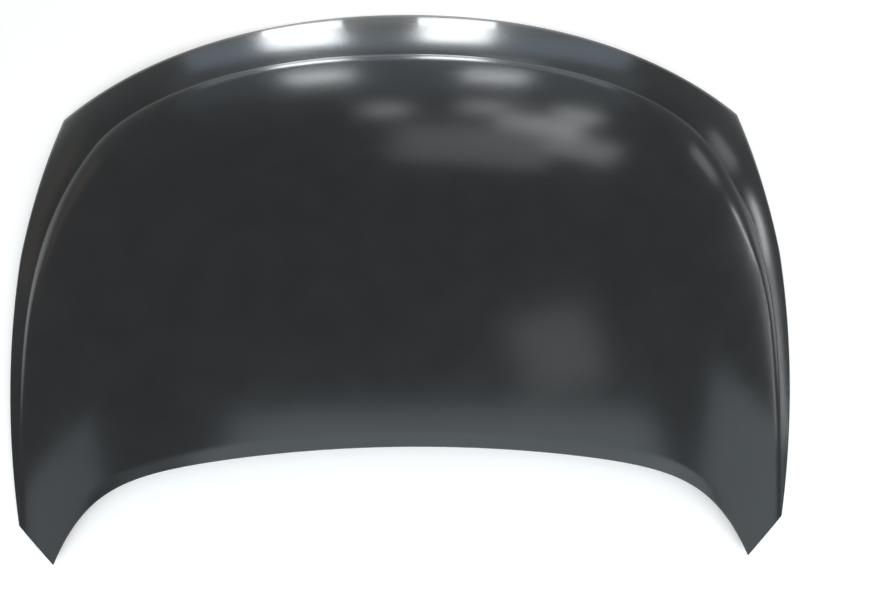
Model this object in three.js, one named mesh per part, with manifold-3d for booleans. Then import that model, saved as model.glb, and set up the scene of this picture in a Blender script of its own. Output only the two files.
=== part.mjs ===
// Car bonnet: a pressed outer skin hemmed round a pressed inner panel, with its reinforcements.
// Millimetres. +X is across the car, +Y points to the nose and +Z up.
// The panel rests outer side up on its nose edge and its two rear corners.
import * as THREE from 'three';
import { mergeVertices } from 'three/addons/utils/BufferGeometryUtils.js';
import Module from 'manifold-3d';

const wasm = await Module();
wasm.setup();

// Plan outline
const HALF_WIDTH = 719;           // at the widest station of the side edge
const WIDEST_Y = -5;
const NOSE_Y = 561.5;             // nose edge on the centre line
const FRONT_CORNER = [684, 307];
const FRONT_BOW = 2.11;           // flat in the middle, quicker towards the corners
const SIDE_BOW_FRONT = 1.2;
const SIDE_BOW_REAR = 1.95;
const CHAMFER_CORNER = [657, -496];
const TIP = [587, -561.5];        // pointed rear corner
const REAR_Y = -388;              // rear edge on the centre line
const REAR_BOW = 62;              // even sweep of the rear edge
const TIP_SWEEP_POWER = 10.3;     // how late the rear edge turns down to the tip

// Crease line between the raised centre panel and the lower band round it
const CREASE_NOSE_GAP = 150;
const CREASE_CORNER = [595, 211];
const CREASE_CORNER_ANGLE = 61;
const CREASE_REAR_GAP = 4;
const CREASE_NOSE_PULL = 331;
const CREASE_CORNER_PULL = 109;
const CREASE_SIDE_PULL = 248;
const CREASE_REAR_PULL = 355;

// Crown of the outer skin
const CROWN_Y = 46;               // station of the highest point
const CROWN_HEIGHT = 144.4;
const NOSE_FALL = 139.54;         // fall from the crown to the nose edge
const REAR_FALL = 35;             // fall from the crown to the middle of the rear edge
const CROSS_FALL = 69.5;          // even cross crown out to the side edge
const SHOULDER_FALL = 48;         // extra fall of the shoulder out to the side edge
const SHOULDER_POWER = 6;

// Step down from the centre panel to the band
const STEP_FRONT = 2.6;
const STEP_SIDE = 7;
const STEP_RUN_OUT = 0.6;         // what is left of the step at the rear corners
const RISER_FRONT = 22;
const RISER_CORNER = 60;
const RISER_SIDE = 12;
const BAND_RISE = 0.35;           // share of the step that the band regains
const BAND_RISE_WIDTH = 50;

// Lip along the rear edge
const LIP_WIDTH = 20;
const LIP_FALL = 5;
const LIP_FADE_X = 440;           // the lip fades out from here to the tip
const LIP_AT_TIP = 0.1;

// Sheet and hem
const SKIN_SHEET = 0.8;
const INNER_SHEET = 0.7;
const HEM_GAP = 0.65;             // sealed gap each side of the inner flange
const HEM_RETURN = 12;
const HEM_BEAD = 0.8;
const FOLD_ROOT = 0.3;
const FLANGE_MARGIN = 1.6;        // bonnet's edge to the edge of the inner flange
const SEAT_GAP = 0.3;             // clearance between pieces that touch

// Inner panel
const FLANGE_WIDTH = 13;
const WALL_RUN = 18;              // from the flange to the foot of the perimeter wall
const CHANNEL_DEPTH = 25;         // below the crown surface
const SHALLOW_DEPTH = 9;
const FLOOR_CLEARANCE = 9;        // the channel stays this much above the resting plane
const LAND_DEPTH = 8;             // mastic lands round the cut-outs
const CREASE_MARGIN = 26;         // crease to the centre line of the rib behind it
const REAR_INSET = 62;
const FRAME_REAR_X = 520;
const FRAME_SIDE_PULL = [650, -80];
const RIB_HALF_WIDTH = 20;
const LAND_INSET = 36;
const CUTOUT_INSET = 54;
const CUTOUT_RADIUS = 55;

// Hinge and striker seats, their reinforcements, weld nuts and mastic
const SEAT_DEPTH_HINGE = 17;
const SEAT_DEPTH_STRIKER = 24;
const HINGE_STATIONS = [3, 4, 5];   // side stations that the hinge seat spans
const STRIKER_STATIONS = [0, 1, 2]; // front stations that half the striker seat spans
const HINGE_PLATE = [44, 96];
const HINGE_PLATE_SHEET = 2;
const HINGE_PLATE_TURN = 12;
const HINGE_BOLT_PITCH = 52;
const STRIKER_PLATE = [120, 46];
const STRIKER_PLATE_SHEET = 1.5;
const STRIKER_BOLT_PITCH = 70;
const PLATE_CORNER = 8;
const BOLT_HOLE_RADIUS = 5;
const HOLE_SIDES = 20;
const NUT_RADIUS = 8;
const NUT_HEIGHT = 7;
const NUT_FLANGE_RADIUS = 10.5;
const NUT_FLANGE = 1.6;
const NUT_BORE_RADIUS = 4.2;
const NUT_SIDES = 14;
const MASTIC_RADIUS = 8;
const MASTIC_SIDES = 14;
const MASTIC_BULGE = 1.5;
const MASTIC_GAP_LAND = 0.35;
const MASTIC_GAP_SKIN = 1.1;

// Grid fractions: across the half width, and from the rear edge to the crease
const ACROSS = [0, 0.065, 0.13, 0.195, 0.26, 0.32, 0.38, 0.44, 0.5, 0.57, 0.65, 0.73, 0.81, 0.88, 0.94, 0.98, 1];
const ALONG = [0, 0.025, 0.06, 0.11, 0.2, 0.29, 0.38, 0.47, 0.55, 0.63, 0.71, 0.79, 0.86, 0.92, 0.965, 0.985, 1];
const LAST = ACROSS.length - 1;
const CHAMFER_STATION = 3;
const CHAMFER_SHARE = 0.05;       // share of the frame's side that faces the chamfer
const BAND = [0, 0.1, 0.3, 0.58, 0.84, 1];
const CELL = 8;                   // grid steps in one rib cell

const coat = (color, roughness, metalness) => new THREE.MeshStandardMaterial({ color, roughness, metalness });
const SKIN_COAT = coat(0x34393b, 0.35, 0.3);
const INNER_COAT = coat(0x2c3032, 0.5, 0.3);
const STEEL = coat(0x4a4d4f, 0.5, 0.6);
const NUT_STEEL = coat(0x7c7f80, 0.45, 0.8);
const MASTIC = coat(0x1d1d1e, 0.9, 0);

const { lerp, clamp, degToRad } = THREE.MathUtils;
const smooth = (t) => THREE.MathUtils.smoothstep(t, 0, 1);
const blend = (a, b, t) => a.map((value, k) => lerp(value, b[k], t));
const add = (a, b, scale = 1) => a.map((value, k) => value + b[k] * scale);
const flat = (vector) => [vector.x, vector.y];

// Outline edges of the right half
function frontEdge(x) {
  return [x, NOSE_Y - (NOSE_Y - FRONT_CORNER[1]) * (x / FRONT_CORNER[0]) ** FRONT_BOW];
}

function sideEdge(y) {
  const front = y > WIDEST_Y;
  const [cornerX, cornerY] = front ? FRONT_CORNER : CHAMFER_CORNER;
  const share = (y - WIDEST_Y) / (cornerY - WIDEST_Y);
  return [HALF_WIDTH - (HALF_WIDTH - cornerX) * share ** (front ? SIDE_BOW_FRONT : SIDE_BOW_REAR), y];
}

function rearEdge(x) {
  const share = Math.abs(x) / TIP[0];
  const tipSweep = REAR_Y - REAR_BOW - TIP[1];
  return [x, REAR_Y - REAR_BOW * share ** 2 - tipSweep * share ** TIP_SWEEP_POWER];
}

function rearSlope(x) {
  return (rearEdge(x + 0.5)[1] - rearEdge(x - 0.5)[1]);
}

// The crease: two Bezier stretches that meet smoothly behind the front corner
const cornerTurn = degToRad(CREASE_CORNER_ANGLE);
const cornerHeading = new THREE.Vector2(Math.cos(cornerTurn), -Math.sin(cornerTurn));
const creaseNose = new THREE.Vector2(0, NOSE_Y - CREASE_NOSE_GAP);
const creaseCorner = new THREE.Vector2(...CREASE_CORNER);
const chamferCorner = new THREE.Vector2(...CHAMFER_CORNER);
const tip = new THREE.Vector2(...TIP);
const creaseEnd = chamferCorner.clone().lerp(tip, CREASE_REAR_GAP / chamferCorner.distanceTo(tip));
const rearHeading = new THREE.Vector2(0.1, 1).normalize();

const creaseFront = new THREE.CubicBezierCurve(
  creaseNose,
  creaseNose.clone().add(new THREE.Vector2(CREASE_NOSE_PULL, 0)),
  creaseCorner.clone().addScaledVector(cornerHeading, -CREASE_CORNER_PULL),
  creaseCorner,
);
const creaseSide = new THREE.CubicBezierCurve(
  creaseCorner,
  creaseCorner.clone().addScaledVector(cornerHeading, CREASE_SIDE_PULL),
  creaseEnd.clone().addScaledVector(rearHeading, CREASE_REAR_PULL),
  creaseEnd,
);
const CREASE_SAMPLES = 60;
const creaseLine = [...creaseFront.getPoints(CREASE_SAMPLES), ...creaseSide.getPoints(CREASE_SAMPLES).slice(1)];

// Distance to the crease, positive on the band, and how far along it the nearest point lies
function creaseDistance(x, y) {
  let gap = Infinity;
  let side = 1;
  let along = 0;
  for (let k = 0; k + 1 < creaseLine.length; k += 1) {
    const a = creaseLine[k];
    const dx = creaseLine[k + 1].x - a.x;
    const dy = creaseLine[k + 1].y - a.y;
    const t = clamp(((x - a.x) * dx + (y - a.y) * dy) / (dx * dx + dy * dy), 0, 1);
    const reach = Math.hypot(x - a.x - t * dx, y - a.y - t * dy);
    if (reach < gap - 1e-9) {
      gap = reach;
      side = dx * (y - a.y) - dy * (x - a.x) >= 0 ? 1 : -1;
      along = (k + t) / (creaseLine.length - 1);
    }
  }
  return { gap: gap * side, along };
}

// Height of the crown surface, which runs through under the step and the lip
function crownHeight(x, y) {
  const width = Math.abs(x) / HALF_WIDTH;
  const cross = CROSS_FALL * width ** 2 + SHOULDER_FALL * width ** SHOULDER_POWER;
  const length = y > CROWN_Y
    ? NOSE_FALL * ((y - CROWN_Y) / (NOSE_Y - CROWN_Y)) ** 2
    : REAR_FALL * ((CROWN_Y - y) / (CROWN_Y - REAR_Y)) ** 2;
  return CROWN_HEIGHT - cross - length;
}

// Fall of the step: rolled over inside the crease, crisp at its foot, then regained in part
function stepFall(x, y) {
  const { gap, along } = creaseDistance(Math.abs(x), y);
  const raised = lerp(STEP_FRONT, STEP_SIDE, smooth((along - 0.15) / 0.35));
  const height = lerp(raised, STEP_RUN_OUT, smooth((along - 0.6) / 0.4));
  if (gap >= 0) return height * (1 - BAND_RISE * smooth(gap / BAND_RISE_WIDTH));
  const riser = along < 0.5
    ? lerp(RISER_FRONT, RISER_CORNER, smooth((along - 0.15) / 0.3))
    : lerp(RISER_CORNER, RISER_SIDE, smooth((along - 0.5) / 0.3));
  return height * Math.max(0, 1 + gap / riser) ** 2;
}

function lipFall(x, y) {
  const across = Math.min(Math.abs(x), TIP[0]);
  const reach = (y - rearEdge(across)[1]) / Math.hypot(1, rearSlope(across));
  const fade = lerp(1, LIP_AT_TIP, smooth((across - LIP_FADE_X) / (TIP[0] - LIP_FADE_X)));
  return LIP_FALL * fade * clamp(1 - reach / LIP_WIDTH, 0, 1);
}

const skinHeight = (x, y) => crownHeight(x, y) - stepFall(x, y) - lipFall(x, y);

const NORMAL_STEP = 3;
function skinNormal(x, y) {
  const slopeX = (skinHeight(x + NORMAL_STEP, y) - skinHeight(x - NORMAL_STEP, y)) / (2 * NORMAL_STEP);
  const slopeY = (skinHeight(x, y + NORMAL_STEP) - skinHeight(x, y - NORMAL_STEP)) / (2 * NORMAL_STEP);
  return new THREE.Vector3(-slopeX, -slopeY, 1).normalize().toArray();
}

// A point this deep under the outer face of the skin
function under([x, y], depth) {
  return add([x, y, skinHeight(x, y)], skinNormal(x, y), -depth);
}

// A closed body's facets, written for the right half and mirrored
class Facets {
  constructor() {
    this.triangles = [];
  }

  triangle(a, b, c) {
    this.triangles.push([a, b, c]);
  }

  quad(a, b, c, d) {
    this.triangle(a, b, c);
    this.triangle(a, c, d);
  }

  // The same quad seen from behind, split along the same diagonal
  backQuad(a, b, c, d) {
    this.triangle(a, c, b);
    this.triangle(a, d, c);
  }

  // Quads between two rows of points, seen from outside with row b to the left of row a
  strip(a, b) {
    for (let k = 0; k + 1 < a.length; k += 1) this.quad(a[k], a[k + 1], b[k + 1], b[k]);
  }

  backStrip(a, b) {
    for (let k = 0; k + 1 < a.length; k += 1) this.backQuad(a[k], a[k + 1], b[k + 1], b[k]);
  }

  mirror() {
    const flip = ([x, y, z]) => [-x, y, z];
    this.triangles.push(...this.triangles.map(([a, b, c]) => [flip(a), flip(c), flip(b)]));
    return this;
  }

  geometry() {
    const whole = new THREE.BufferGeometry();
    whole.setAttribute('position', new THREE.Float32BufferAttribute(this.triangles.flat(2), 3));
    return mergeVertices(whole, 1e-3);
  }
}

// Plan stations shared by the skin, the hem and the inner panel
const sideShare = (j) => (ALONG[j] - ALONG[CHAMFER_STATION]) / (1 - ALONG[CHAMFER_STATION]);
const chamferShare = (j) => ALONG[j] / ALONG[CHAMFER_STATION];
const rearRow = ACROSS.map((share) => rearEdge(TIP[0] * share));
const frontRow = ACROSS.map((share) => frontEdge(FRONT_CORNER[0] * share));
const sideColumn = ALONG.map((share, j) => (j < CHAMFER_STATION
  ? blend(TIP, CHAMFER_CORNER, chamferShare(j))
  : sideEdge(lerp(CHAMFER_CORNER[1], FRONT_CORNER[1], sideShare(j)))));
const creaseRow = ACROSS.map((share) => flat(creaseFront.getPointAt(share)));
const creaseColumn = ALONG.map((share, j) => (j < CHAMFER_STATION
  ? blend(TIP, flat(creaseEnd), chamferShare(j))
  : flat(creaseSide.getPointAt(1 - sideShare(j)))));

// Plan grid blended between four boundary rows
function coons(bottom, top, left, right) {
  return ACROSS.map((u, i) => ALONG.map((v, j) => [0, 1].map((k) => {
    const ruled = (1 - v) * bottom[i][k] + v * top[i][k] + (1 - u) * left[j][k] + u * right[j][k];
    const low = (1 - u) * bottom[0][k] + u * bottom[LAST][k];
    const high = (1 - u) * top[0][k] + u * top[LAST][k];
    return ruled - (1 - v) * low - v * high;
  })));
}

const centreLine = (low, high) => ALONG.map((share) => [0, lerp(low, high, share)]);
const panelGrid = coons(rearRow, creaseRow, centreLine(REAR_Y, creaseNose.y), creaseColumn);
const frontBand = creaseRow.map((point, i) => BAND.map((share) => blend(point, frontRow[i], share)));
const sideBand = BAND.map((share) => creaseColumn.slice(CHAMFER_STATION).map((point, j) =>
  blend(point, sideColumn[CHAMFER_STATION + j], share)));

// Edge of the right half from the rear centre round to the nose, with a mitred inward direction
function edgeWithInward(points) {
  const mirrored = (point) => [-point[0], point[1]];
  return points.map((point, k) => {
    const before = k > 0 ? points[k - 1] : mirrored(points[1]);
    const after = k + 1 < points.length ? points[k + 1] : mirrored(points[k - 1]);
    const a = new THREE.Vector2(before[1] - point[1], point[0] - before[0]).normalize();
    const b = new THREE.Vector2(point[1] - after[1], after[0] - point[0]).normalize();
    const mitre = a.clone().add(b).divideScalar(1 + a.dot(b));
    return { point, inward: flat(mitre) };
  });
}

const skinEdge = edgeWithInward([
  ...rearRow,
  ...creaseColumn.slice(1, CHAMFER_STATION + 1),
  ...BAND.slice(1).map((share) => blend(flat(creaseEnd), CHAMFER_CORNER, share)),
  ...sideColumn.slice(CHAMFER_STATION + 1),
  ...frontRow.slice(0, LAST).reverse(),
]);

// The band's short rear end is set in evenly, so that the rings of the hem don't cross there
const bandEnd = skinEdge.slice(LAST + CHAMFER_STATION, LAST + CHAMFER_STATION + BAND.length);
const [endInward, cornerInward] = [bandEnd[0].inward, bandEnd.at(-1).inward];
bandEnd.forEach((station, k) => {
  station.inward = blend(endInward, cornerInward, BAND[k]);
});

const ring = (edge, inset, depth) => edge.map(({ point, inward }) => under(add(point, inward, inset), depth));

function outerSkin() {
  const foldRoot = ring(skinEdge, FOLD_ROOT, SKIN_SHEET);
  const rootOf = new Map(skinEdge.map(({ point }, k) => [point.map((v) => v.toFixed(3)).join(), foldRoot[k]]));
  const outerFace = (point) => under(point, 0);
  const innerFace = (point) => rootOf.get(point.map((v) => v.toFixed(3)).join()) ?? under(point, SKIN_SHEET);
  const skin = new Facets();
  for (const patch of [panelGrid, frontBand, sideBand]) {
    for (let i = 0; i + 1 < patch.length; i += 1) {
      for (let j = 0; j + 1 < patch[i].length; j += 1) {
        const corners = [patch[i][j], patch[i + 1][j], patch[i + 1][j + 1], patch[i][j + 1]];
        skin.quad(...corners.map(outerFace));
        skin.backQuad(...corners.map(innerFace));
      }
    }
  }
  const foldDepth = 2 * (SKIN_SHEET + HEM_GAP) + INNER_SHEET;
  const returnTop = foldDepth - SKIN_SHEET;
  const section = [
    [0, 0],
    [-HEM_BEAD * 0.75, foldDepth * 0.18],
    [-HEM_BEAD, foldDepth * 0.5],
    [-HEM_BEAD * 0.75, foldDepth * 0.82],
    [0, foldDepth],
    [HEM_RETURN, foldDepth],
    [HEM_RETURN, returnTop],
    [FOLD_ROOT, returnTop],
    [FOLD_ROOT, SKIN_SHEET],
  ];
  const rings = section.map(([inset, depth]) => ring(skinEdge, inset, depth));
  rings[0] = skinEdge.map(({ point }) => outerFace(point));
  for (let k = 0; k + 1 < rings.length; k += 1) skin.strip(rings[k + 1], rings[k]);
  return skin.mirror().geometry();
}

// Rows along the rib centre lines that frame the cut-outs
const frameRear = ACROSS.map((share) => {
  const [x, y] = rearEdge(FRAME_REAR_X * share);
  return [x, y + REAR_INSET * Math.hypot(1, rearSlope(x))];
});
const frameFront = ACROSS.map((share, i) => {
  const heading = creaseFront.getTangentAt(share);
  const [x, y] = add(creaseRow[i], [heading.y, -heading.x], CREASE_MARGIN);
  return [i === 0 ? 0 : x, y];
});
const frameSideCurve = new THREE.QuadraticBezierCurve(
  new THREE.Vector2(...frameRear[LAST]),
  new THREE.Vector2(...FRAME_SIDE_PULL),
  new THREE.Vector2(...frameFront[LAST]),
);
const frameSide = ALONG.map((share, j) => flat(frameSideCurve.getPointAt(j < CHAMFER_STATION
  ? CHAMFER_SHARE * chamferShare(j)
  : lerp(CHAMFER_SHARE, 1, sideShare(j)))));
const frameGrid = coons(frameRear, frameFront, centreLine(frameRear[0][1], frameFront[0][1]), frameSide);

// Rows of the perimeter channel, from the hemmed flange in to the frame
const loopOf = (rear, side, front) => [...rear, ...side.slice(1), ...front.slice(0, LAST).reverse()];
const panelEdge = edgeWithInward(loopOf(rearRow, sideColumn, frontRow));
const frameLoop = loopOf(frameRear, frameSide, frameFront);
const wallFoot = panelEdge.map(({ point, inward }, k) => {
  const flange = add(point, inward, FLANGE_WIDTH);
  const reach = Math.hypot(frameLoop[k][0] - flange[0], frameLoop[k][1] - flange[1]);
  return blend(flange, frameLoop[k], Math.min(WALL_RUN / reach, 0.5));
});
const hingeLoop = HINGE_STATIONS.map((j) => LAST + j);
const strikerLoop = STRIKER_STATIONS.map((i) => 3 * LAST - i);

function channelHeight(x, y) {
  const crown = crownHeight(x, y);
  return crown - clamp(crown - FLOOR_CLEARANCE, SHALLOW_DEPTH, CHANNEL_DEPTH);
}

const landHeight = (x, y) => skinHeight(x, y) - LAND_DEPTH;

// A flat seat in the channel, laid along the crown, with the plate's long axis turned from +Y
function flatSeat([x, y], depth, turn) {
  const slopeX = (crownHeight(x + 1, y) - crownHeight(x - 1, y)) / 2;
  const slopeY = (crownHeight(x, y + 1) - crownHeight(x, y - 1)) / 2;
  const height = (px, py) => crownHeight(x, y) - depth + slopeX * (px - x) + slopeY * (py - y);
  const normal = new THREE.Vector3(-slopeX, -slopeY, 1).normalize();
  const long = new THREE.Vector3(-Math.sin(turn), Math.cos(turn), 0).projectOnPlane(normal).normalize();
  const basis = new THREE.Matrix4().makeBasis(long.clone().cross(normal), long, normal);
  return { height, normal, basis, origin: new THREE.Vector3(x, y, height(x, y)) };
}

const middleOf = (points) => [0, 1].map((k) => points.reduce((sum, point) => sum + point[k], 0) / points.length);
const hingeEnds = [hingeLoop[0], hingeLoop.at(-1)];
const hingeCentre = middleOf(hingeEnds.flatMap((k) => [wallFoot[k], frameLoop[k]]));
const strikerCentre = middleOf([wallFoot[3 * LAST], frameLoop[3 * LAST]]);
const hingeSeat = flatSeat(hingeCentre, SEAT_DEPTH_HINGE, degToRad(HINGE_PLATE_TURN));
const hingeSeatLeft = flatSeat([-hingeCentre[0], hingeCentre[1]], SEAT_DEPTH_HINGE, degToRad(-HINGE_PLATE_TURN));
const strikerSeat = flatSeat(strikerCentre, SEAT_DEPTH_STRIKER, Math.PI / 2);

function channelRow(points) {
  return points.map(([x, y], k) => {
    if (hingeLoop.includes(k)) return [x, y, hingeSeat.height(x, y)];
    if (strikerLoop.includes(k)) return [x, y, strikerSeat.height(x, y)];
    return [x, y, channelHeight(x, y)];
  });
}

const flangeDepth = SKIN_SHEET + HEM_GAP;
const frameRow = channelRow(frameLoop);
const channelRows = [
  ring(panelEdge, FLANGE_MARGIN, flangeDepth),
  ring(panelEdge, (FLANGE_MARGIN + FLANGE_WIDTH) / 2, flangeDepth),
  ring(panelEdge, FLANGE_WIDTH, flangeDepth),
  channelRow(wallFoot),
  channelRow(wallFoot.map((point, k) => blend(point, frameLoop[k], 0.5))),
  frameRow,
];

// One station of a rounded rectangle set in from a unit square: [along the side, in from the side]
function roundedStation(share, insetAlong, insetIn, radiusAlong, radiusIn) {
  const along = lerp(insetAlong, 1 - insetAlong, share);
  const fromCorner = Math.min(along - insetAlong, 1 - insetAlong - along);
  if (fromCorner >= radiusAlong) return [along, insetIn];
  const turn = lerp(Math.PI / 4, Math.PI / 2, fromCorner / radiusAlong);
  const back = insetAlong + radiusAlong * (1 - Math.cos(turn));
  return [share < 0.5 ? back : 1 - back, insetIn + radiusIn * (1 - Math.sin(turn))];
}

// A rib cell: its four sides as curves, and rings set in from them towards the cut-out
class RibCell {
  constructor(column, row) {
    const steps = [...Array(CELL + 1).keys()];
    const station = (i, j) => [column * CELL + i, row * CELL + j];
    this.sides = {
      bottom: steps.map((i) => station(i, 0)),
      right: steps.map((j) => station(CELL, j)),
      top: steps.map((i) => station(i, CELL)),
      left: steps.map((j) => station(0, j)),
    };
    this.curves = Object.fromEntries(Object.entries(this.sides).map(([side, stations]) => [
      side,
      new THREE.SplineCurve(stations.map(([i, j]) => new THREE.Vector2(...frameGrid[i][j]))),
    ]));
    this.width = (this.curves.bottom.getLength() + this.curves.top.getLength()) / 2;
    this.height = (this.curves.left.getLength() + this.curves.right.getLength()) / 2;
  }

  at(u, v) {
    const { bottom, right, top, left } = this.curves;
    const [b, t] = [bottom, top].map((curve) => flat(curve.getPointAt(u)));
    const [l, r] = [left, right].map((curve) => flat(curve.getPointAt(v)));
    const corners = [bottom, top].map((curve) => blend(flat(curve.getPointAt(0)), flat(curve.getPointAt(1)), u));
    return [0, 1].map((k) => lerp(b[k], t[k], v) + lerp(l[k], r[k], u) - lerp(corners[0][k], corners[1][k], v));
  }

  ring(inset, radius) {
    const [insetU, insetV] = [inset / this.width, inset / this.height];
    const [radiusU, radiusV] = [radius / this.width, radius / this.height];
    const stationsOf = (side, flipped, place) => {
      const shares = this.sharesOf(side);
      const stations = shares.map((share) => (side === 'bottom' || side === 'top'
        ? roundedStation(share, insetU, insetV, radiusU, radiusV)
        : roundedStation(share, insetV, insetU, radiusV, radiusU)));
      if (flipped) stations.reverse();
      return stations.slice(0, CELL).map(([along, inward]) => this.at(...place(along, inward)));
    };
    return [
      ...stationsOf('bottom', false, (along, inward) => [along, inward]),
      ...stationsOf('right', false, (along, inward) => [1 - inward, along]),
      ...stationsOf('top', true, (along, inward) => [along, 1 - inward]),
      ...stationsOf('left', true, (along, inward) => [inward, along]),
    ];
  }

  sharesOf(side) {
    const points = this.sides[side].map(([i, j]) => new THREE.Vector2(...frameGrid[i][j]));
    const travelled = points.map((_, k) => points.slice(1, k + 1).reduce((sum, p, m) => sum + p.distanceTo(points[m]), 0));
    return travelled.map((length) => length / travelled[CELL]);
  }

  boundary() {
    const { bottom, right, top, left } = this.sides;
    const loop = [...bottom, ...right.slice(1), ...top.slice(0, CELL).reverse(), ...left.slice(1, CELL).reverse()];
    return loop.map(([i, j]) => framePoint(i, j));
  }
}

// Frame stations in space: the outer ones are shared with the perimeter channel
function framePoint(i, j) {
  if (j === 0) return frameRow[i];
  if (i === LAST) return frameRow[LAST + j];
  if (j === LAST) return frameRow[3 * LAST - i];
  const [x, y] = frameGrid[i][j];
  return [x, y, channelHeight(x, y)];
}

const cells = [0, 1].flatMap((column) => [0, 1].map((row) => new RibCell(column, row)));
const raise = (height) => ([x, y]) => [x, y, height(x, y)];
const closeRow = (row) => [...row, row[0]];

// Solids that are cut or joined
const toSolid = (geometry) => new wasm.Manifold(new wasm.Mesh({
  numProp: 3,
  vertProperties: new Float32Array(geometry.attributes.position.array),
  triVerts: new Uint32Array(geometry.index.array),
}));

function bare(geometry) {
  geometry.deleteAttribute('normal');
  geometry.deleteAttribute('uv');
  return mergeVertices(geometry, 1e-4);
}

function fromSolid(solid) {
  const mesh = solid.getMesh();
  const geometry = new THREE.BufferGeometry();
  geometry.setAttribute('position', new THREE.BufferAttribute(mesh.vertProperties, 3));
  geometry.setIndex(new THREE.BufferAttribute(mesh.triVerts, 1));
  return geometry;
}

const boltOffsets = (pitch) => [-pitch / 2, pitch / 2];

function boltHoles(seat, pitch) {
  return boltOffsets(pitch).map((offset) => {
    const drill = bare(new THREE.CylinderGeometry(BOLT_HOLE_RADIUS, BOLT_HOLE_RADIUS, CHANNEL_DEPTH, HOLE_SIDES));
    drill.rotateX(Math.PI / 2).translate(0, offset, 0).applyMatrix4(seat.basis);
    return drill.translate(...seat.origin.toArray());
  });
}

function innerPanel() {
  const panel = new Facets();
  const bothFaces = (a, b) => {
    const drop = (row) => row.map(([x, y, z]) => [x, y, z - INNER_SHEET]);
    panel.strip(a, b);
    panel.backStrip(drop(a), drop(b));
  };
  const rim = (row, flipped) => {
    const lower = row.map(([x, y, z]) => [x, y, z - INNER_SHEET]);
    if (flipped) panel.strip(row, lower);
    else panel.strip(lower, row);
  };
  channelRows.slice(1).forEach((row, k) => bothFaces(channelRows[k], row));
  rim(channelRows[0], false);
  for (const cell of cells) {
    const rings = [
      cell.boundary(),
      cell.ring(RIB_HALF_WIDTH, CUTOUT_RADIUS + CUTOUT_INSET - RIB_HALF_WIDTH).map(raise(channelHeight)),
      cell.ring(LAND_INSET, CUTOUT_RADIUS + CUTOUT_INSET - LAND_INSET).map(raise(landHeight)),
      cell.ring(CUTOUT_INSET, CUTOUT_RADIUS).map(raise(landHeight)),
    ].map(closeRow);
    rings.slice(1).forEach((row, k) => bothFaces(rings[k], row));
    rim(rings.at(-1), true);
  }
  let solid = toSolid(panel.mirror().geometry());
  const holes = [
    ...boltHoles(hingeSeat, HINGE_BOLT_PITCH),
    ...boltHoles(hingeSeatLeft, HINGE_BOLT_PITCH),
    ...boltHoles(strikerSeat, STRIKER_BOLT_PITCH),
  ];
  for (const hole of holes) solid = solid.subtract(toSolid(hole));
  return fromSolid(solid);
}

// A flat reinforcement with rounded corners and two bolt holes along its length
function reinforcementPlate([width, length], sheet, pitch) {
  const [x, y] = [width / 2, length / 2];
  const outline = new THREE.Shape();
  outline.moveTo(-x + PLATE_CORNER, -y);
  outline.lineTo(x - PLATE_CORNER, -y);
  outline.absarc(x - PLATE_CORNER, -y + PLATE_CORNER, PLATE_CORNER, -Math.PI / 2, 0);
  outline.absarc(x - PLATE_CORNER, y - PLATE_CORNER, PLATE_CORNER, 0, Math.PI / 2);
  outline.absarc(-x + PLATE_CORNER, y - PLATE_CORNER, PLATE_CORNER, Math.PI / 2, Math.PI);
  outline.absarc(-x + PLATE_CORNER, -y + PLATE_CORNER, PLATE_CORNER, Math.PI, Math.PI * 1.5);
  for (const offset of boltOffsets(pitch)) {
    outline.holes.push(new THREE.Path().absarc(0, offset, BOLT_HOLE_RADIUS, 0, Math.PI * 2, true));
  }
  return bare(new THREE.ExtrudeGeometry(outline, { depth: sheet, bevelEnabled: false, curveSegments: 5 }));
}

function weldNut() {
  const profile = [
    [NUT_BORE_RADIUS, 0],
    [NUT_FLANGE_RADIUS, 0],
    [NUT_FLANGE_RADIUS, NUT_FLANGE],
    [NUT_RADIUS, NUT_FLANGE],
    [NUT_RADIUS, NUT_HEIGHT],
    [NUT_BORE_RADIUS, NUT_HEIGHT],
    [NUT_BORE_RADIUS, 0],
  ].map(([radius, height]) => new THREE.Vector2(radius, height));
  return bare(new THREE.LatheGeometry(profile, NUT_SIDES)).rotateX(Math.PI / 2);
}

// A blob of mastic squeezed between a land and the skin
function masticPad([x, y]) {
  const pad = new Facets();
  const circle = (radius, height) => closeRow([...Array(MASTIC_SIDES).keys()].map((k) => {
    const turn = (2 * Math.PI * k) / MASTIC_SIDES;
    const [px, py] = [x + radius * Math.cos(turn), y + radius * Math.sin(turn)];
    return [px, py, height(px, py)];
  }));
  const low = (px, py) => landHeight(px, py) + MASTIC_GAP_LAND;
  const high = (px, py) => skinHeight(px, py) - SKIN_SHEET / skinNormal(px, py)[2] - MASTIC_GAP_SKIN;
  const foot = circle(MASTIC_RADIUS, low);
  const waist = circle(MASTIC_RADIUS + MASTIC_BULGE, (px, py) => (low(px, py) + high(px, py)) / 2);
  const head = circle(MASTIC_RADIUS, high);
  pad.strip(foot, waist);
  pad.strip(waist, head);
  for (let k = 0; k < MASTIC_SIDES; k += 1) {
    pad.triangle(head[k], head[k + 1], [x, y, high(x, y)]);
    pad.triangle(foot[k + 1], foot[k], [x, y, low(x, y)]);
  }
  return pad.geometry();
}

const bonnet = new THREE.Group();

function place(name, geometry, material, parent = bonnet) {
  const mesh = new THREE.Mesh(geometry, material);
  mesh.name = name;
  parent.add(mesh);
  return mesh;
}

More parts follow.
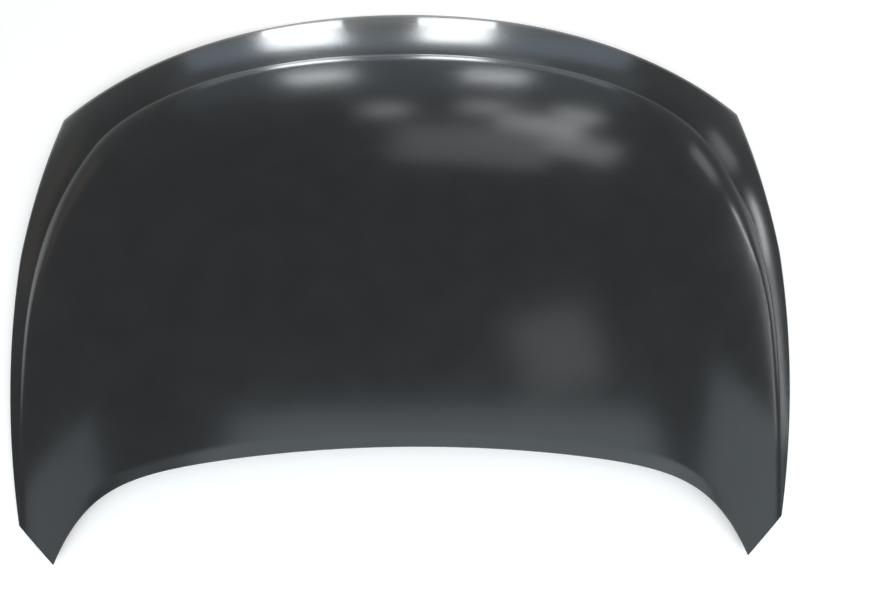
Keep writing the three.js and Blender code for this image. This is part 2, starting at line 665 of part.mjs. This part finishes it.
// A reinforcement and its weld nuts, standing on a flat seat
function reinforce(name, seat, size, sheet, pitch) {
  const stack = new THREE.Group();
  stack.quaternion.setFromRotationMatrix(seat.basis);
  stack.position.copy(seat.origin).addScaledVector(seat.normal, SEAT_GAP);
  place(`${name}_reinforcement`, reinforcementPlate(size, sheet, pitch), STEEL, stack);
  boltOffsets(pitch).forEach((offset, k) => {
    place(`${name}_weld_nut_${k + 1}`, weldNut(), NUT_STEEL, stack).position.set(0, offset, sheet + SEAT_GAP);
  });
  bonnet.add(stack);
}

place('outer_skin', outerSkin(), SKIN_COAT);
place('inner_panel', innerPanel(), INNER_COAT);
reinforce('hinge_right', hingeSeat, HINGE_PLATE, HINGE_PLATE_SHEET, HINGE_BOLT_PITCH);
reinforce('hinge_left', hingeSeatLeft, HINGE_PLATE, HINGE_PLATE_SHEET, HINGE_BOLT_PITCH);
reinforce('striker', strikerSeat, [STRIKER_PLATE[1], STRIKER_PLATE[0]], STRIKER_PLATE_SHEET, STRIKER_BOLT_PITCH);

// Mastic on the middle of each cell's front and rear land
const landMiddle = (LAND_INSET + CUTOUT_INSET) / 2;
cells.forEach((cell, k) => {
  const inset = landMiddle / cell.height;
  [inset, 1 - inset].forEach((v, m) => {
    const [x, y] = cell.at(0.5, v);
    place(`mastic_right_${2 * k + m + 1}`, masticPad([x, y]), MASTIC);
    place(`mastic_left_${2 * k + m + 1}`, masticPad([-x, y]), MASTIC);
  });
});

export default bonnet;
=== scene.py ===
# Looks of the car bonnet: satin black primer on a hemmed outer skin and a ribbed inner panel.
import math

import bmesh
import bpy
import numpy as np
from mathutils import Matrix, Vector

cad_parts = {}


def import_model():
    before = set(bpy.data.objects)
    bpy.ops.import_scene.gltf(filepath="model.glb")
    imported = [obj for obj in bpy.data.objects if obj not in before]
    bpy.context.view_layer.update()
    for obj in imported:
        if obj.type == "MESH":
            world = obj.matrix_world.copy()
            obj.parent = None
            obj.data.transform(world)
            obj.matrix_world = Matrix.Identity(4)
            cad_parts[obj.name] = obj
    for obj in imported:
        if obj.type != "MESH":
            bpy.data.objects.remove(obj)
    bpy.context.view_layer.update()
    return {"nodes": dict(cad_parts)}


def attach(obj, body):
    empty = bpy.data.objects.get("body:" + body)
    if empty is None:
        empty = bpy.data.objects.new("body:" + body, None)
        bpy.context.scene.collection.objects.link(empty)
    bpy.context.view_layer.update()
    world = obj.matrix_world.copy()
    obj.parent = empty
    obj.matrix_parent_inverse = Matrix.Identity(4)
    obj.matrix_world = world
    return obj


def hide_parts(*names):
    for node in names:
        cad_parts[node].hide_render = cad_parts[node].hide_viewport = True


MM = 0.001

# Plan outline of the right half, in millimetres like every size down to the camera
HALF_WIDTH = 719
WIDEST_Y = -5
NOSE_Y = 561.5
FRONT_CORNER = np.array([684, 307])
FRONT_BOW = 2.11
SIDE_BOW_FRONT = 1.2
SIDE_BOW_REAR = 1.95
CHAMFER_CORNER = np.array([657, -496])
TIP = np.array([587, -561.5])
REAR_Y = -388
REAR_BOW = 62
TIP_SWEEP_POWER = 10.3

# Crease between the raised centre panel and the lower band
CREASE_NOSE = np.array([0, NOSE_Y - 150])
CREASE_CORNER = np.array([595, 211])
CREASE_CORNER_TURN = math.radians(61)
CREASE_REAR_GAP = 4
CREASE_REAR_LEAN = 0.1
CREASE_PULLS = (331, 109, 248, 355)
CREASE_STEPS = 400
CREASE_STRIDE = 5
DISTANCE_BATCH = 4000

# Crown and shoulder
CROWN_Y = 46
CROWN_HEIGHT = 144.4
NOSE_FALL = 139.54
REAR_FALL = 35
CROSS_FALL = 69.5
SHOULDER_FALL = 48
SHOULDER_POWER = 6

# Step at the crease, its riser, and the band that regains some height beside it
STEP_FRONT = 2.6
STEP_SIDE = 7
STEP_RUN_OUT = 0.6
RISER_FRONT = 22
RISER_CORNER = 60
RISER_SIDE = 12
BAND_RISE = 0.35
BAND_RISE_WIDTH = 50

# Where each change along the crease starts and how far it takes, as shares of its length
STEP_GROWS = (0.15, 0.35)
STEP_FADES = (0.6, 0.4)
RISER_WIDENS = (0.15, 0.3)
RISER_NARROWS = (0.5, 0.3)

# Lip along the rear edge
LIP_WIDTH = 20
LIP_FALL = 5
LIP_FADE_X = 440
LIP_AT_TIP = 0.1

# Press lines are eased over this radius
PRESS_RADIUS = 1.6
PRESS_OFFSETS = np.linspace(-PRESS_RADIUS, PRESS_RADIUS, 5)
SLOPE_REACH = 2.0

# Sheet and hem
SKIN_SHEET = 0.8
INNER_SHEET = 0.7
HEM_GAP = 0.65
HEM_RETURN = 12
HEM_BEAD = 0.8
FOLD_ROOT = 0.3
HEM_TURNS = 8

# Mesh fineness
ACROSS_STEPS = 90
ALONG_STEPS = 126
BAND_STEPS = 22
ACROSS_CROWDING = 1.7
ALONG_CROWDING = 1.5
CHAMFER_SHARE = 0.11
SKIN_SHARP_ANGLE = 28
INNER_SHARP_ANGLE = 32
WELD_REACH = 2e-6

# Camera that took the photo, fitted to the outline
CAMERA_TARGET = (62.8, -130.6, 90)
CAMERA_DISTANCE = 1599
CAMERA_ELEVATION = 69.5
CAMERA_YAW = 1.8
CAMERA_ROLL = 1.065
FOCAL_PIXELS = 900
PHOTO_WIDTH = 872
SENSOR = 36

# Studio
FLOOR_HALF = 9
FLOOR_DROP = 0.002
SURROUND = 0.3
FLOOR_GLOW = (0.25, 0.21, 0.18)
COOL = (0.8, 0.92, 1)
DAYLIGHT = (0.66, 0.84, 1)
PALE = (0.94, 0.98, 1)
WARM = (1, 0.72, 0.4)


def mix(a, b, share):
    return a + (b - a) * share


def ease(share):
    share = np.clip(share, 0, 1)
    return share * share * (3 - 2 * share)


# Share of a change done at this place, from where it starts and how far it takes
def done(place, change):
    start, width = change
    return ease((place - start) / width)


# Outline edges of the right half
def front_edge(x):
    fall = (NOSE_Y - FRONT_CORNER[1]) * (x / FRONT_CORNER[0]) ** FRONT_BOW
    return np.stack([x, NOSE_Y - fall], -1)


def side_edge(y):
    front = y > WIDEST_Y
    corner = np.where(front[:, None], FRONT_CORNER, CHAMFER_CORNER)
    share = (y - WIDEST_Y) / (corner[:, 1] - WIDEST_Y)
    bow = np.where(front, SIDE_BOW_FRONT, SIDE_BOW_REAR)
    return np.stack([HALF_WIDTH - (HALF_WIDTH - corner[:, 0]) * share**bow, y], -1)


def rear_y(x):
    share = np.abs(x) / TIP[0]
    sweep = (REAR_Y - REAR_BOW - TIP[1]) * share**TIP_SWEEP_POWER
    return REAR_Y - REAR_BOW * share**2 - sweep


# Crease stretches as evenly walked curves
def bezier(points):
    t = np.linspace(0, 1, CREASE_STEPS + 1)[:, None]
    a, b, c, d = points
    return (1 - t) ** 3 * a + 3 * t * (1 - t) ** 2 * b + 3 * t * t * (1 - t) * c + t**3 * d


def walk(curve, shares):
    gone = np.concatenate([[0], np.cumsum(np.linalg.norm(np.diff(curve, axis=0), axis=1))])
    return np.stack([np.interp(shares * gone[-1], gone, curve[:, k]) for k in (0, 1)], -1)


def crease_curves():
    heading = np.array([math.cos(CREASE_CORNER_TURN), -math.sin(CREASE_CORNER_TURN)])
    rear_heading = np.array([CREASE_REAR_LEAN, 1]) / math.hypot(CREASE_REAR_LEAN, 1)
    chamfer = TIP - CHAMFER_CORNER
    end = CHAMFER_CORNER + chamfer * CREASE_REAR_GAP / np.linalg.norm(chamfer)
    nose, corner, side, rear = CREASE_PULLS
    into_corner = [CREASE_NOSE + [nose, 0], CREASE_CORNER - heading * corner]
    out_of_corner = [CREASE_CORNER + heading * side, end + rear_heading * rear]
    front = bezier([CREASE_NOSE, *into_corner, CREASE_CORNER])
    back = bezier([CREASE_CORNER, *out_of_corner, end])
    return front, back


CREASE_FRONT, CREASE_SIDE = crease_curves()
CREASE_END = CREASE_SIDE[-1]
CREASE_LINE = np.vstack([CREASE_FRONT[::CREASE_STRIDE], CREASE_SIDE[CREASE_STRIDE::CREASE_STRIDE]])


# Distance to the crease, positive on the band, and the share of the crease at the nearest point
def crease_distance(x, y):
    start = CREASE_LINE[:-1]
    step = np.diff(CREASE_LINE, axis=0)
    gap = np.empty(len(x))
    along = np.empty(len(x))
    for low in range(0, len(x), DISTANCE_BATCH):
        part = slice(low, low + DISTANCE_BATCH)
        px = x[part, None] - start[:, 0]
        py = y[part, None] - start[:, 1]
        t = np.clip((px * step[:, 0] + py * step[:, 1]) / (step**2).sum(1), 0, 1)
        reach = np.hypot(px - t * step[:, 0], py - t * step[:, 1])
        nearest = reach.argmin(1)
        row = np.arange(len(nearest))
        turn = step[nearest, 0] * py[row, nearest] - step[nearest, 1] * px[row, nearest]
        gap[part] = reach[row, nearest] * np.where(turn >= 0, 1, -1)
        along[part] = (nearest + t[row, nearest]) / len(start)
    return gap, along


def crown_height(x, y):
    width = np.abs(x) / HALF_WIDTH
    cross = CROSS_FALL * width**2 + SHOULDER_FALL * width**SHOULDER_POWER
    nose = NOSE_FALL * ((y - CROWN_Y) / (NOSE_Y - CROWN_Y)) ** 2
    rear = REAR_FALL * ((CROWN_Y - y) / (CROWN_Y - REAR_Y)) ** 2
    return CROWN_HEIGHT - cross - np.where(y > CROWN_Y, nose, rear)


# A profile averaged over the press radius, so that its corners are eased
def eased(profile, reach):
    return np.mean([profile(reach + offset) for offset in PRESS_OFFSETS], axis=0)


def step_fall(x, y):
    gap, along = crease_distance(np.abs(x), y)
    raised = mix(STEP_FRONT, STEP_SIDE, done(along, STEP_GROWS))
    height = mix(raised, STEP_RUN_OUT, done(along, STEP_FADES))
    widened = mix(RISER_FRONT, RISER_CORNER, done(along, RISER_WIDENS))
    riser = mix(widened, RISER_SIDE, done(along, RISER_NARROWS))

    def profile(reach):
        band = 1 - BAND_RISE * (1 - np.clip(1 - reach / BAND_RISE_WIDTH, 0, 1) ** 2)
        return np.where(reach >= 0, band, np.maximum(0, 1 + reach / riser) ** 2)

    return height * eased(profile, gap)


def lip_fall(x, y):
    across = np.minimum(np.abs(x), TIP[0])
    slope = rear_y(across + 0.5) - rear_y(across - 0.5)
    reach = (y - rear_y(across)) / np.hypot(1, slope)
    fade = mix(1, LIP_AT_TIP, done(across, (LIP_FADE_X, TIP[0] - LIP_FADE_X)))
    return LIP_FALL * fade * eased(lambda gap: np.clip(1 - gap / LIP_WIDTH, 0, 1), reach)


def skin_height(x, y):
    return crown_height(x, y) - step_fall(x, y) - lip_fall(x, y)


# Points this deep under the outer face of the skin
def under(plan, depth):
    x, y = plan[:, 0], plan[:, 1]
    run = 2 * SLOPE_REACH
    slope_x = (skin_height(x + SLOPE_REACH, y) - skin_height(x - SLOPE_REACH, y)) / run
    slope_y = (skin_height(x, y + SLOPE_REACH) - skin_height(x, y - SLOPE_REACH)) / run
    normal = np.stack([-slope_x, -slope_y, np.ones(len(x))], -1)
    normal /= np.linalg.norm(normal, axis=1)[:, None]
    return np.column_stack([x, y, skin_height(x, y)]) - normal * depth


# Stations from 0 to 1, finer where the press lines are
def towards_end(count):
    return 1 - (1 - np.linspace(0, 1, count + 1)) ** ACROSS_CROWDING


def towards_both(count):
    t = np.linspace(0, 1, count + 1)
    first = 0.5 * (2 * t) ** ALONG_CROWDING
    last = 1 - 0.5 * (2 - 2 * t) ** ALONG_CROWDING
    return np.where(t < 0.5, first, last)


ACROSS = towards_end(ACROSS_STEPS)
ALONG = towards_both(ALONG_STEPS)
CHAMFER_STATION = int(np.abs(ALONG - CHAMFER_SHARE).argmin())
ALONG[CHAMFER_STATION] = CHAMFER_SHARE
BAND = 1 - towards_end(BAND_STEPS)[::-1]


# Boundary rows of the plan grids: a column runs up the chamfer first, then along its curve
def chamfer_then(corner, curve):
    chamfer = mix(TIP, corner, ALONG[: CHAMFER_STATION + 1, None] / CHAMFER_SHARE)
    shares = (ALONG[CHAMFER_STATION + 1 :] - CHAMFER_SHARE) / (1 - CHAMFER_SHARE)
    return np.vstack([chamfer, curve(shares)])


def up_the_crease(shares):
    return walk(CREASE_SIDE, 1 - shares)


def up_the_side(shares):
    return side_edge(mix(CHAMFER_CORNER[1], FRONT_CORNER[1], shares))


REAR_ROW = np.stack([ACROSS * TIP[0], rear_y(ACROSS * TIP[0])], -1)
FRONT_ROW = front_edge(ACROSS * FRONT_CORNER[0])
CREASE_ROW = walk(CREASE_FRONT, ACROSS)
CREASE_COLUMN = chamfer_then(CREASE_END, up_the_crease)
CREASE_COLUMN[-1] = CREASE_ROW[-1]
SIDE_COLUMN = chamfer_then(CHAMFER_CORNER, up_the_side)


# Plan grid blended between four boundary rows
def coons(bottom, top, left, right):
    u = ACROSS[:, None, None]
    v = ALONG[None, :, None]
    ruled = (1 - v) * bottom[:, None] + v * top[:, None] + (1 - u) * left[None] + u * right[None]
    low = (1 - u) * bottom[0] + u * bottom[-1]
    high = (1 - u) * top[0] + u * top[-1]
    return ruled - (1 - v) * low - v * high


# Centre panel, front band and side band of the right half
def skin_patches():
    centre_line = np.stack([ALONG * 0, mix(REAR_Y, CREASE_NOSE[1], ALONG)], -1)
    panel = coons(REAR_ROW, CREASE_ROW, centre_line, CREASE_COLUMN)
    panel[0, :, 0] = 0
    front = mix(CREASE_ROW[:, None], FRONT_ROW[:, None], BAND[None, :, None])
    beside = slice(CHAMFER_STATION, None)
    side = mix(CREASE_COLUMN[None, beside], SIDE_COLUMN[None, beside], BAND[:, None, None])
    return panel, front, side


# Outer edge of the right half, from the middle of the rear edge round to the nose
def outer_edge():
    return np.vstack([
        REAR_ROW,
        CREASE_COLUMN[1 : CHAMFER_STATION + 1],
        mix(CREASE_END, CHAMFER_CORNER, BAND[1:, None]),
        SIDE_COLUMN[CHAMFER_STATION + 1 :],
        FRONT_ROW[-2::-1],
    ])


# A ring's inward directions, mitred at each station of the right half's edge
def inward(edge):
    flip = np.array([-1, 1])
    closed = np.vstack([edge[1] * flip, edge, edge[-2] * flip])
    step = np.diff(closed, axis=0)
    step /= np.linalg.norm(step, axis=1)[:, None]
    normal = np.stack([-step[:, 1], step[:, 0]], -1)
    a, b = normal[:-1], normal[1:]
    return (a + b) / (1 + (a * b).sum(1))[:, None]


# A ring set in from the edge: near the pointed tip it gathers on the mitre instead of crossing
def set_in(edge, turn_in, inset):
    plan = edge + turn_in * inset
    tip = len(REAR_ROW) - 1
    if inset > 0:
        reach = inset * math.sqrt((turn_in[tip] ** 2).sum() - 1)
        plan[np.linalg.norm(edge - edge[tip], axis=1) < reach] = plan[tip]
    return plan


# Insets and depths of the hem: a round fold, the return under the flange, and back to the fold's root
def hem_section():
    fold = 2 * (SKIN_SHEET + HEM_GAP) + INNER_SHEET
    back = fold - SKIN_SHEET
    turns = np.linspace(0, math.pi, HEM_TURNS + 1)
    bead = [(-HEM_BEAD * math.sin(turn), fold / 2 * (1 - math.cos(turn))) for turn in turns]
    return bead + [(HEM_RETURN, fold), (HEM_RETURN, back), (FOLD_ROOT, back), (FOLD_ROOT, SKIN_SHEET)]


# A mesh gathered from grids of points, mirrored to the left half and welded
class Shell:
    def __init__(self):
        self.points = []
        self.quads = []
        self.count = 0

    def grid(self, points, flipped=False):
        rows, columns = points.shape[:2]
        index = self.count + np.arange(rows * columns).reshape(rows, columns)
        corners = [index[:-1, :-1], index[1:, :-1], index[1:, 1:], index[:-1, 1:]]
        quads = np.stack(corners, -1).reshape(-1, 4)
        self.quads.append(quads[:, ::-1] if flipped else quads)
        self.points.append(points.reshape(-1, 3))
        self.count += rows * columns

    def build(self, name):
        right = np.vstack(self.points) * MM
        quads = np.vstack(self.quads)
        points = np.vstack([right, right * [-1, 1, 1]])
        faces = np.vstack([quads, quads[:, ::-1] + len(right)])
        mesh = bpy.data.meshes.new(name)
        mesh.from_pydata(points.tolist(), [], faces.tolist())
        weld(mesh, SKIN_SHARP_ANGLE)
        return mesh


def weld(mesh, sharp_angle):
    shape = bmesh.new()
    shape.from_mesh(mesh)
    bmesh.ops.remove_doubles(shape, verts=shape.verts, dist=WELD_REACH)
    shape.to_mesh(mesh)
    shape.free()
    mesh.polygons.foreach_set("use_smooth", [True] * len(mesh.polygons))
    mesh.set_sharp_from_angle(angle=math.radians(sharp_angle))


def add_object(name, data):
    item = bpy.data.objects.new(name, data)
    bpy.context.scene.collection.objects.link(item)
    return item


# The skin's inner face under a patch, whose edge points sit at the root of the fold
def inner_face(plan, edge, root):
    root_at = {tuple(np.round(point, 3)): place for point, place in zip(edge, root)}
    face = under(plan, SKIN_SHEET)
    for k, point in enumerate(plan):
        face[k] = root_at.get(tuple(np.round(point, 3)), face[k])
    return face


# The outer skin with its hem turned under
def skin_mesh():
    shell = Shell()
    edge = outer_edge()
    turn_in = inward(edge)
    root = under(edge + turn_in * FOLD_ROOT, SKIN_SHEET)
    for patch in skin_patches():
        plan = patch.reshape(-1, 2)
        shape = (*patch.shape[:2], 3)
        shell.grid(under(plan, 0).reshape(shape))
        shell.grid(inner_face(plan, edge, root).reshape(shape), flipped=True)
    rings = [under(set_in(edge, turn_in, inset), depth) for inset, depth in hem_section()]
    shell.grid(np.stack(rings))
    return shell.build("outer_skin_fine")


# Shader values written as expressions
class Value:
    def __init__(self, tree, socket):
        self.tree = tree
        self.socket = socket

    # A new node: its settings come first, then the values or links of its sockets
    def node(self, kind, sockets, output=0, **settings):
        made = self.tree.nodes.new(kind)
        for name, setting in settings.items():
            setattr(made, name, setting)
        for name, value in sockets.items():
            self.feed(made.inputs[name], value)
        return Value(self.tree, made.outputs[output])

    def feed(self, socket, value):
        if isinstance(value, Value):
            self.tree.links.new(value.socket, socket)
        else:
            socket.default_value = value

    def __add__(self, other):
        return self.node("ShaderNodeMath", {0: self, 1: other}, operation="ADD")

    def __mul__(self, other):
        return self.node("ShaderNodeMath", {0: self, 1: other}, operation="MULTIPLY")

    __radd__ = __add__
    __rmul__ = __mul__

    def noise(self, scale, detail):
        return self.node("ShaderNodeTexNoise", {"Vector": self, "Scale": scale, "Detail": detail})

    def between(self, low, high):
        return self.node("ShaderNodeMapRange", {"Value": self, "From Min": low, "From Max": high})

    def colours(self, first, second):
        sockets = {0: self, 6: (*first, 1), 7: (*second, 1)}
        return self.node("ShaderNodeMix", sockets, output=2, data_type="RGBA")

    def bumps(self, strength, depth, **beneath):
        sockets = {"Strength": strength, "Distance": depth, "Height": self, **beneath}
        return self.node("ShaderNodeBump", sockets)


def material(name, paint):
    made = bpy.data.materials.new(name)
    made.use_nodes = True
    tree = made.node_tree
    place = Value(tree, tree.nodes.new("ShaderNodeTexCoord").outputs["Object"])
    shader = tree.nodes["Principled BSDF"]
    for socket, value in paint(place).items():
        place.feed(shader.inputs[socket], value)
    return made


# Dipped primer: satin black, with orange peel, faint waves in the sheet and a little dust
def primer(dark, pale, rough, peel, waves=0, metal=0):
    def paint(place):
        dust = place.noise(14, 5).between(0.35, 0.75)
        grain = place.noise(900, 2)
        cloud = place.noise(5, 3).between(0.3, 0.7)
        relief = grain.bumps(peel, 0.001)
        if waves:
            relief = place.noise(9, 1).bumps(waves, 0.01, Normal=relief)
        return {
            "Base Color": (dust * 0.6 + grain * 0.4).colours(dark, pale),
            "Roughness": cloud * (rough * 0.14) + dust * (rough * 0.1) + rough * 0.88,
            "Metallic": metal,
            "Normal": relief,
        }
    return paint


# Cured mastic: matt and slightly grainy
def matt(dark, pale, rough):
    def paint(place):
        grain = place.noise(260, 4)
        return {
            "Base Color": grain.colours(dark, pale),
            "Roughness": grain * 0.1 + rough,
            "Normal": grain.bumps(0.3, 0.001),
        }
    return paint


# The floor is white to the camera and in reflections, and keeps its shadows
def floor_paint(place):
    camera = place.node("ShaderNodeLightPath", {}, "Is Camera Ray")
    glossy = place.node("ShaderNodeLightPath", {}, "Is Glossy Ray")
    return {
        "Base Color": (0.93, 0.93, 0.93, 1),
        "Roughness": 0.5,
        "Emission Color": (camera + glossy).colours((0, 0, 0), FLOOR_GLOW),
        "Emission Strength": 1,
    }


SKIN_COAT = material(
    "skin_coat",
    primer((0.012, 0.013, 0.0135), (0.018, 0.019, 0.0195), 0.17, peel=0.03, waves=0.02),
)
INNER_COAT = material(
    "inner_coat",
    primer((0.02, 0.022, 0.023), (0.03, 0.032, 0.033), 0.4, peel=0.05),
)
REINFORCEMENT_COAT = material(
    "reinforcement_coat",
    primer((0.024, 0.025, 0.026), (0.035, 0.037, 0.038), 0.42, peel=0.05),
)
NUT_STEEL = material(
    "nut_steel",
    primer((0.16, 0.16, 0.155), (0.24, 0.24, 0.23), 0.42, peel=0.06, metal=0.9),
)
MASTIC = material("mastic", matt((0.01, 0.01, 0.01), (0.022, 0.022, 0.023), 0.75))


def coat(piece, made):
    piece.data.materials.clear()
    piece.data.materials.append(made)


# A piece of the scene that stands for a CAD node
def replace_node(piece, name, made):
    coat(piece, made)
    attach(piece, "root")
    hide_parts(name)


# The CAD node's own mesh, merged and smoothly shaded
def smooth_node(node, name, made):
    mesh = node.data.copy()
    weld(mesh, INNER_SHARP_ANGLE)
    replace_node(add_object(f"{name}_smooth", mesh), name, made)


# A lamp of this size in metres, at this azimuth from the nose and elevation in degrees,
# seen from the point that it lights
def lamp(name, lit, azimuth, elevation, size, radiance, colour=PALE, distance=3):
    azimuth = math.radians(azimuth)
    elevation = math.radians(elevation)
    level = math.cos(elevation)
    way = Vector((math.sin(azimuth) * level, math.cos(azimuth) * level, math.sin(elevation)))
    light = bpy.data.lights.new(name, "AREA")
    light.shape = "RECTANGLE"
    light.size, light.size_y = size
    light.energy = radiance * math.pi * size[0] * size[1]
    light.color = colour
    item = add_object(name, light)
    item.location = Vector(lit) + way * distance
    item.rotation_mode = "QUATERNION"
    item.rotation_quaternion = (-way).to_track_quat("-Z", "Y")
    item.visible_camera = False


# Large soft lamps behind the camera and beside the bonnet
def room_lamps():
    lamp("ceiling", (0.4, -0.1, 0.1), 180, 63, (3.8, 2.3), 1.8, COOL)
    lamp("rear_low", (0, 0, 0), 180, 36, (4.4, 1.2), 3, COOL, distance=3.4)
    lamp("rear_left", (-0.5, -0.4, 0.1), -118, 34, (2.4, 1.5), 1.0, COOL)
    lamp("rear_right", (0.5, -0.4, 0.1), 112, 34, (2.6, 1.6), 1.35, COOL)
    lamp("left_wall", (-0.68, 0.1, 0.05), -60, 14, (1.6, 0.6), 0.2, WARM)


# Windows ahead of the nose and to the right, with a low card under each front one
def window_lamps():
    lamp("horizon", (0, 0.5, 0.03), 0, 8, (4, 0.7), 1.15, DAYLIGHT, distance=3.6)
    lamp("window_left", (-0.21, 0.51, 0.03), -10.2, 3.9, (0.52, 0.4), 16)
    lamp("window_right", (0.11, 0.53, 0.03), 3.6, 3.9, (0.48, 0.4), 15)
    lamp("card_left", (-0.235, 0.54, 0.014), 0, 0, (0.19, 0.026), 7, distance=0.12)
    lamp("card_right", (0.125, 0.54, 0.014), 0, 0, (0.18, 0.026), 7, distance=0.12)
    lamp("front_glow", (0, 0.36, 0.1), 0, 20, (4.6, 1), 0.34, DAYLIGHT, distance=3.8)
    lamp("right_window", (0.68, 0.04, 0.06), 65, 19.5, (0.56, 0.26), 11)
    lamp("right_strip", (0.68, -0.2, 0.05), 80, 18.5, (1.3, 0.1), 10)
    lamp("right_far", (0.58, 0.15, 0.08), 48, 20, (0.52, 0.66), 1.7)


# Small lamps and pale patches that the centre panel mirrors
def ceiling_panels():
    lamp("tube_left", (-0.16, 0.35, 0.1), -10, 19.5, (0.46, 0.2), 11)
    lamp("tube_right", (0.18, 0.34, 0.1), 8.5, 20, (0.44, 0.2), 10)
    lamp("panel_middle", (-0.02, 0.25, 0.12), -3.5, 33, (0.3, 0.2), 5)
    lamp("panel_right", (0.16, 0.25, 0.12), 8.5, 31.5, (0.34, 0.22), 4.2)
    lamp("panel_far", (0.34, 0.24, 0.12), 20.5, 30.5, (0.38, 0.22), 5)
    lamp("panel_pale", (0.26, 0.22, 0.12), 17, 36, (0.66, 0.3), 4.6)
    lamp("panel_upper", (0.34, 0.17, 0.12), 26, 41, (0.6, 0.4), 2.8)
    lamp("panel_glow", (0.14, 0.16, 0.12), 9, 45, (1.2, 0.7), 1.3)
    lamp("right_pale", (0.27, -0.23, 0.12), 70, 72, (0.7, 0.7), 1.2)


def surround():
    world = bpy.data.worlds.new("studio")
    bpy.context.scene.world = world
    world.use_nodes = True
    background = world.node_tree.nodes["Background"]
    background.inputs["Color"].default_value = (1, 1, 1, 1)
    background.inputs["Strength"].default_value = SURROUND


def white_floor():
    low, high = -FLOOR_HALF, FLOOR_HALF
    corners = [(low, low, 0), (high, low, 0), (high, high, 0), (low, high, 0)]
    mesh = bpy.data.meshes.new("floor")
    mesh.from_pydata(corners, [], [(0, 1, 2, 3)])
    mesh.materials.append(material("floor_white", floor_paint))
    floor = add_object("floor", mesh)
    floor.location = (0, 0, -FLOOR_DROP)


def place_camera():
    elevation = math.radians(CAMERA_ELEVATION)
    yaw = math.radians(CAMERA_YAW)
    roll = math.radians(CAMERA_ROLL)
    level = math.cos(elevation)
    forward = Vector((math.sin(yaw) * level, math.cos(yaw) * level, -math.sin(elevation)))
    right = Vector((math.cos(yaw), -math.sin(yaw), 0))
    up = right.cross(forward)
    turned_right = right * math.cos(roll) + up * math.sin(roll)
    turned_up = up * math.cos(roll) - right * math.sin(roll)
    data = bpy.data.cameras.new("photo")
    data.sensor_width = SENSOR
    data.lens = FOCAL_PIXELS / PHOTO_WIDTH * SENSOR
    data.clip_start = 0.05
    data.clip_end = 50
    camera = add_object("photo", data)
    place = Vector(CAMERA_TARGET) * MM - forward * CAMERA_DISTANCE * MM
    turn = Matrix((turned_right, turned_up, -forward)).transposed()
    camera.matrix_world = Matrix.Translation(place) @ turn.to_4x4()
    bpy.context.scene.camera = camera


def main():
    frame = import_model()
    replace_node(add_object("outer_skin_fine", skin_mesh()), "outer_skin", SKIN_COAT)
    smooth_node(frame["nodes"]["inner_panel"], "inner_panel", INNER_COAT)
    for name, node in frame["nodes"].items():
        if "reinforcement" in name:
            coat(node, REINFORCEMENT_COAT)
        elif "nut" in name:
            coat(node, NUT_STEEL)
        elif "mastic" in name:
            coat(node, MASTIC)
    surround()
    white_floor()
    room_lamps()
    window_lamps()
    ceiling_panels()
    place_camera()
    bpy.context.scene.view_settings.view_transform = "Standard"


main()
